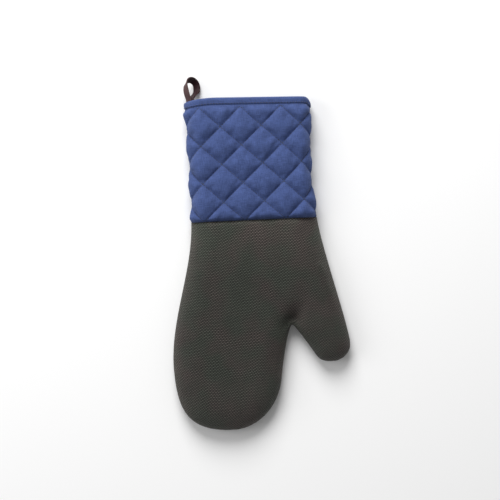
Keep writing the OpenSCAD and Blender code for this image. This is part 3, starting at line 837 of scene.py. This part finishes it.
# Palm, from the wrist to the knuckle line, past the thumb's root and the crotch.
outer = resampled(palm_right, 22)
outer_move = -inward(outer)
outer_move[0] = [-1, 0]
across = unit(thumb_line[0] - thumb_line[1])
outer_move[-1] = slanted(across, outer_move[-1])
shares = np.linspace(0, 1, 30)[1:-1, None]
root_move = slanted(-across, unit(np.array([0.62, 0.8])))
inner = outer[-1] + shares * (root - outer[-1])
inner_move = (1 - shares) * outer_move[-1] + shares * root_move
arc = resampled(notch_arc[::-1], 9)
arc_move = unit(np.array([0.0, 1.0])) + 0 * arc
arc_move[0] = root_move
across_k = unit(palm_left[-1] - knuckle)
arc_move[-1] = slanted(across_k, unit(np.array([-1.0, 0.3])))
b = np.concatenate([outer, inner, arc])
move_b = np.concatenate([outer_move, inner_move, arc_move])
a = resampled(palm_left, len(b))
move_a = inward(a)
move_a[0] = [1, 0]
move_a[-1] = slanted(-across_k, move_a[-1])
rims = np.concatenate([np.arange(len(outer)), np.arange(len(outer) + len(inner), len(b))])
zones["hand"] = zone((a, move_a), (b, move_b), rims, 61)

# Rows of small raised ticks pressed into the sheet, every second row moved by half a tick.
ticks, g_in, g_out = new_group(
    "embossed ticks",
    [("Place mm", "Vector", None), ("Tick mm", "Float", 3.0), ("Row mm", "Float", 1.5)],
    [("Height", "Float"), ("Wear", "Float")],
)
wobble = add(ticks, "ShaderNodeTexNoise", {"Vector": g_in["Place mm"], "Scale": 0.05, "Detail": 1.0})
pushed = scaled(ticks, wobble.outputs["Color"], 3.0)
shifted = add(ticks, "ShaderNodeVectorMath", {0: g_in["Place mm"], 1: pushed}, operation="ADD")
tilt = {"Vector": shifted.outputs[0], "Angle": math.radians(8)}
turned = add(ticks, "ShaderNodeVectorRotate", tilt, rotation_type="Z_AXIS")
parts = add(ticks, "ShaderNodeSeparateXYZ", {0: turned.outputs[0]})
row = maths(ticks, "DIVIDE", parts.outputs[1], g_in["Row mm"])
row_number = maths(ticks, "FLOOR", row)
offset = maths(ticks, "MULTIPLY", maths(ticks, "MODULO", maths(ticks, "ABSOLUTE", row_number), 2.0), 0.5)
tick = maths(ticks, "DIVIDE", parts.outputs[0], g_in["Tick mm"])
place_in = maths(ticks, "FRACT", maths(ticks, "ADD", tick, offset))
row_in = maths(ticks, "FRACT", row)
hump_x = maths(ticks, "SINE", maths(ticks, "MULTIPLY", place_in, math.pi))
hump_y = maths(ticks, "SINE", maths(ticks, "MULTIPLY", row_in, math.pi))
hump = maths(ticks, "POWER", maths(ticks, "MULTIPLY", hump_x, hump_y), 0.9)
ticks.links.new(hump, g_out["Height"])
rub = add(ticks, "ShaderNodeTexNoise", {"Vector": g_in["Place mm"], "Scale": 0.35, "Detail": 3.0})
ticks.links.new(maths(ticks, "MULTIPLY", hump, rub.outputs[0]), g_out["Wear"])

dark_sheet, tree, shader = tree_of("dark embossed sheet")
place = cloth_mm(tree)
embossed = use_group(tree, ticks, {"Place mm": place})
tone = add(tree, "ShaderNodeTexNoise", {"Vector": place, "Scale": 0.028, "Detail": 2.0})
warmth = ranged(tree, tone.outputs[0], 0.40, 0.62)
raised = mixed(tree, warmth, (0.066, 0.077, 0.058, 1), (0.094, 0.075, 0.066, 1))
# painted shade: the hollows between the raised ticks are painted near black
base = mixed(tree, embossed["Height"], (0.004, 0.004, 0.004, 1), raised)
along = add(tree, "ShaderNodeSeparateXYZ", {0: place})
# painted light: the sheet is painted paler towards the wrist seam, where more light falls on it
wrist_painted_light = ranged(tree, along.outputs[1], -60.0, 0.0, 0.93, 1.42)
lit_towards_wrist = scaled(tree, base, wrist_painted_light)
# soft random mottling, laid over the painted light towards the wrist
mottled_and_lit = use_group(tree, mottle, {"Place mm": place, "Size mm": 26.0, "Color": lit_towards_wrist, "Amount": 0.12})
tree.links.new(mottled_and_lit["Color"], shader.inputs["Base Color"])
tree.links.new(ranged(tree, embossed["Wear"], 0.0, 0.7, 0.8, 0.55), shader.inputs["Roughness"])
shader.inputs["Specular IOR Level"].default_value = 0.35
shader.inputs["Sheen Weight"].default_value = 0.12
shader.inputs["Sheen Tint"].default_value = (0.9, 0.85, 0.75, 1)
bumped(tree, shader, embossed["Height"], 0.0008, 1.0)


def upper_first(front, outer, inner):
    """The outer grid is the upper one on the front and the lower one on the back. A hand grid's rows
    run down, so both are turned to start from their far end."""
    pair = (outer, inner) if front else (inner, outer)
    return [grid[::-1] for grid in pair]


hand_pieces = {"hand": [], "fingers": [], "thumb": []}
zone_words = {"hand": "palm", "fingers": "fingers", "thumb": "thumb"}
# how near the edge the shading is left to the mesh, and how deep inside the edge the seam's stitches lie, in
# mm
rim, seam_depth = 2.0, 1.7
for body, (at, nominal, level) in zones.items():
    word = zone_words[body]
    for side in ("front", "back"):
        front = side == "front"
        outside = hand_grid(at, nominal, level, 0.0, front)
        inside = hand_grid(at, nominal, level, shell_thick, front)
        deepest = hand_grid(at, nominal, level, shell_thick + lining_thick, front)
        # the back is cut from another place in the sheet
        flat = (laid_flat(at, nominal) + (0 if front else 400))[::-1]
        faces_of_it = upper_first(front, outside, inside)
        outer_piece = closed_sheet(f"{word}_shell_{side}_sheet", *faces_of_it, flat, dark_sheet)
        faces_of_it = [grid[::2, ::2] for grid in upper_first(front, inside, deepest)]
        liner = closed_sheet(f"{word}_lining_{side}_cloth", *faces_of_it, flat[::2, ::2], grey_lining)
        # the sheet runs on over the bend lines, so it is shaded across them without a break
        off_edge = sampled(gap, nominal[..., 0], nominal[..., 1]) > rim
        normals = outward_normals(nominal, front) * off_edge[..., None]
        normals = np.concatenate([n.reshape(-1, 3) for n in upper_first(front, normals, 0 * normals)])
        outer_piece.data.normals_split_custom_set_from_vertices([tuple(n) for n in normals])
        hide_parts(f"{word}_shell_{side}")
        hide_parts(f"{word}_lining_{side}")
        hand_pieces[body] += [outer_piece, liner]
    # the seam's own stitches lie inside the rolled edge
    lines = []
    for column in (0, -1):
        keep = level[:, column] == 0
        keep[0] = keep[-1] = False
        p = at(seam_depth)[keep, column]
        if len(p) > 3:
            p = np.concatenate([p, 0 * p[:, :1] + seam_height], -1)
            lines.append((p, p * 0 + np.array([0.0, 0.0, 1.0])))
    sewing = stitch_piece(f"{word}_seam_stitches", lines, pitch=4.0, length=2.6, radius=0.30)
    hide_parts(f"{word}_side_stitches")
    hand_pieces[body].append(sewing)

# ---------------------------------------------------------------------------
# Hanging loop
# One flat strap of dark brown leather-like material, folded in half, its two ends sewn in
# the mouth's left corner and held by a short dense bar of stitches.
# ---------------------------------------------------------------------------
strap_width, strap_thick = 7.2, 1.5
loop_foot = np.array([-60.4, cuff_length - 0.5, 12.6])
loop_turn = math.radians(48)
loop_sway = math.radians(-8)
loop_sag = math.radians(14)
loop_twist = math.radians(48)
# the strap's two faces lie apart in its flat coordinates, and away from the other pieces
dark_face_place, strap_place = 20, 800
half_drop = np.array([
    [0.8, -9.5], [0.8, -4], [0.85, 0], [2.2, 4], [5.4, 8.4],
    [7.8, 13.4], [8.0, 17.6], [5.4, 22.0], [0.0, 23.8],
])
drop = np.concatenate([half_drop * [-1, 1], half_drop[-2::-1]])


def rounded_line(points, n):
    """A smooth line through a few points."""
    p = np.concatenate([[2 * points[0] - points[1]], points, [2 * points[-1] - points[-2]]])
    line = []
    for before, start, end, after in zip(p, p[1:], p[2:], p[3:]):
        square = 2 * before - 5 * start + 4 * end - after
        cube = 3 * start - before - 3 * end + after
        for t in np.linspace(0, 1, n, endpoint=False):
            line.append(0.5 * (2 * start + (end - before) * t + square * t * t + cube * t**3))
    return np.array(line + [points[-1]])


path = rounded_line(drop, 8)
tangent = np.gradient(path, axis=0)
tangent /= np.linalg.norm(tangent, axis=1)[:, None]
normal = np.stack([-tangent[:, 1], tangent[:, 0]], -1)
run = np.concatenate([[0.0], np.cumsum(np.linalg.norm(np.diff(path, axis=0), axis=1))])
edge = 0.35
w, h = strap_width / 2, strap_thick / 2
under_face = np.array([
    [-w, -h + edge], [-w + edge, -h], [-w * 0.5, -h * 0.96], [0, -h * 0.94], [w * 0.5, -h * 0.96],
    [w - edge, -h], [w, -h + edge],
])
strap_section = np.concatenate([under_face, -under_face])


def rotated(p, q, angle):
    return p * math.cos(angle) - q * math.sin(angle), p * math.sin(angle) + q * math.cos(angle)


points, uvs = [], []
for k in range(len(path)):
    up = smooth(-3, 14, path[k, 1])
    turn = loop_turn * (1.06 - 0.06 * up)
    sway, sag_by = loop_sway * up, loop_sag * up
    twist = loop_twist * smooth(9, 23, path[k, 1])
    x, y = path[k]
    for across, out in strap_section:
        a, b = rotated(across, out, twist)
        px, py = x + normal[k, 0] * b, y + normal[k, 1] * b
        pz, px = rotated(a, px, turn)
        px, py = rotated(px, py, sway)
        pz, py = rotated(pz, py, sag_by)
        points.append(loop_foot + np.array([px, py, pz]))
        uvs.append([run[k] + strap_place, across + (0 if out > 0 else dark_face_place)])
sides = len(strap_section)
faces = grid_faces(len(path), sides, close=True, flip=True)
faces.append(list(range(sides)))
faces.append([(len(path) - 1) * sides + j for j in range(sides)][::-1])

brown_strap, tree, shader = tree_of("brown strap")
place = cloth_mm(tree)
grain = add(tree, "ShaderNodeTexVoronoi", {"Vector": place, "Scale": 1.5}, feature="DISTANCE_TO_EDGE")
wrinkle = add(tree, "ShaderNodeTexNoise", {"Vector": place, "Scale": 0.9, "Detail": 5.0})
strip = add(tree, "ShaderNodeSeparateXYZ", {0: place})
# one face of the strap is coloured much darker and redder than the other, all along it
dark_face_mask = maths(tree, "GREATER_THAN", strip.outputs[1], dark_face_place / 2)
worn = ranged(tree, maths(tree, "ABSOLUTE", strip.outputs[1]), 2.9, 3.9, 0.0, 0.8)
hide = mixed(tree, wrinkle.outputs[0], (0.055, 0.026, 0.027, 1), (0.105, 0.055, 0.056, 1))
edges = mixed(tree, worn, hide, (0.14, 0.085, 0.080, 1))
dark_face_colour = mixed(tree, wrinkle.outputs[0], (0.016, 0.003, 0.005, 1), (0.032, 0.008, 0.011, 1))
tree.links.new(mixed(tree, dark_face_mask, edges, dark_face_colour), shader.inputs["Base Color"])
tree.links.new(ranged(tree, wrinkle.outputs[0], 0.3, 0.7, 0.42, 0.62), shader.inputs["Roughness"])
shader.inputs["Specular IOR Level"].default_value = 0.25
pores = maths(tree, "MINIMUM", grain.outputs["Distance"], 0.25)
bumped(tree, shader, maths(tree, "ADD", pores, maths(tree, "MULTIPLY", wrinkle.outputs[0], 0.4)), 0.0004)
strap = new_piece("hanging_strap", points, faces, uvs, brown_strap)
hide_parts("loop_tail", "hanging_loop")

bar_lines = []
for k in range(5):
    x = np.linspace(-63.0, -55.0, 12)
    y = 0 * x + cuff_length - 5.2 + k * 0.55
    line = np.stack([x, y, 0 * x + 12.0 + 0.3 * k], -1)
    bar_lines.append((line, 0 * line + np.array([0.0, 0.0, 1.0])))
bar = stitch_piece("loop_bar_stitches", bar_lines, pitch=2.6, length=2.3, radius=0.30)
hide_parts("loop_bartack")
cuff_pieces.append(bar)

# ---------------------------------------------------------------------------
# How the pieces are held
# The palm's pieces are attached to the hand's body. The fingers', thumb's, cuff's and strap's pieces have
# their placement baked into their meshes.
# ---------------------------------------------------------------------------
for piece in hand_pieces["hand"]:
    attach(piece, "hand")


def bend_from(pieces):
    """Each piece's placement is baked into its mesh."""
    for piece in pieces:
        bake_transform(piece)


bend_from(hand_pieces["fingers"])
bend_from(hand_pieces["thumb"])
bend_from(cuff_pieces)
bend_from([strap])

# ---------------------------------------------------------------------------
# Table, camera and light
# A pale table seen from straight above, with soft light from the mouth side and from the left.
# ---------------------------------------------------------------------------
pale, _, shader = tree_of("pale table")
shader.inputs["Base Color"].default_value = (0.96, 0.96, 0.96, 1)
shader.inputs["Roughness"].default_value = 0.9
bm = bmesh.new()
bmesh.ops.create_grid(bm, x_segments=1, y_segments=1, size=3.0)
floor_mesh = bpy.data.meshes.new("table_top")
bm.to_mesh(floor_mesh)
bm.free()
floor = bpy.data.objects.new("table_top", floor_mesh)
floor_mesh.materials.append(pale)
bpy.context.scene.collection.objects.link(floor)

camera = bpy.data.objects.new("camera", bpy.data.cameras.new("camera"))
bpy.context.scene.collection.objects.link(camera)
distance, seen_width, sensor = 2.2, 0.512, 36
camera.location = ((middle_x - 5.5) / 1000, (wrist_y - 30.5) / 1000, 0.015 + distance)
camera.rotation_euler = (0, 0, math.radians(-2.6))
camera.data.sensor_width = sensor
camera.data.lens = sensor * distance / seen_width
bpy.context.scene.camera = camera


def lamp(name, place, size, power):
    """A round lamp that shines on the middle of the table."""
    light = bpy.data.lights.new(name, "AREA")
    light.shape = "DISK"
    light.size = size
    light.energy = power
    holder = bpy.data.objects.new(name, light)
    holder.location = place
    x, y, z = place
    holder.rotation_euler = (math.atan2(math.hypot(x, y), z), 0, math.atan2(x, -y))
    bpy.context.scene.collection.objects.link(holder)


lamp("key", (-0.28, 1.70, 1.35), 1.4, 52)
lamp("fill", (-1.6, 0.2, 1.2), 1.4, 11)
world = bpy.data.worlds.new("room")
world.use_nodes = True
world.node_tree.nodes["Background"].inputs[0].default_value = (1, 1, 1, 1)
world.node_tree.nodes["Background"].inputs[1].default_value = 0.30
bpy.context.scene.world = world
bpy.context.scene.view_settings.view_transform = "Standard"
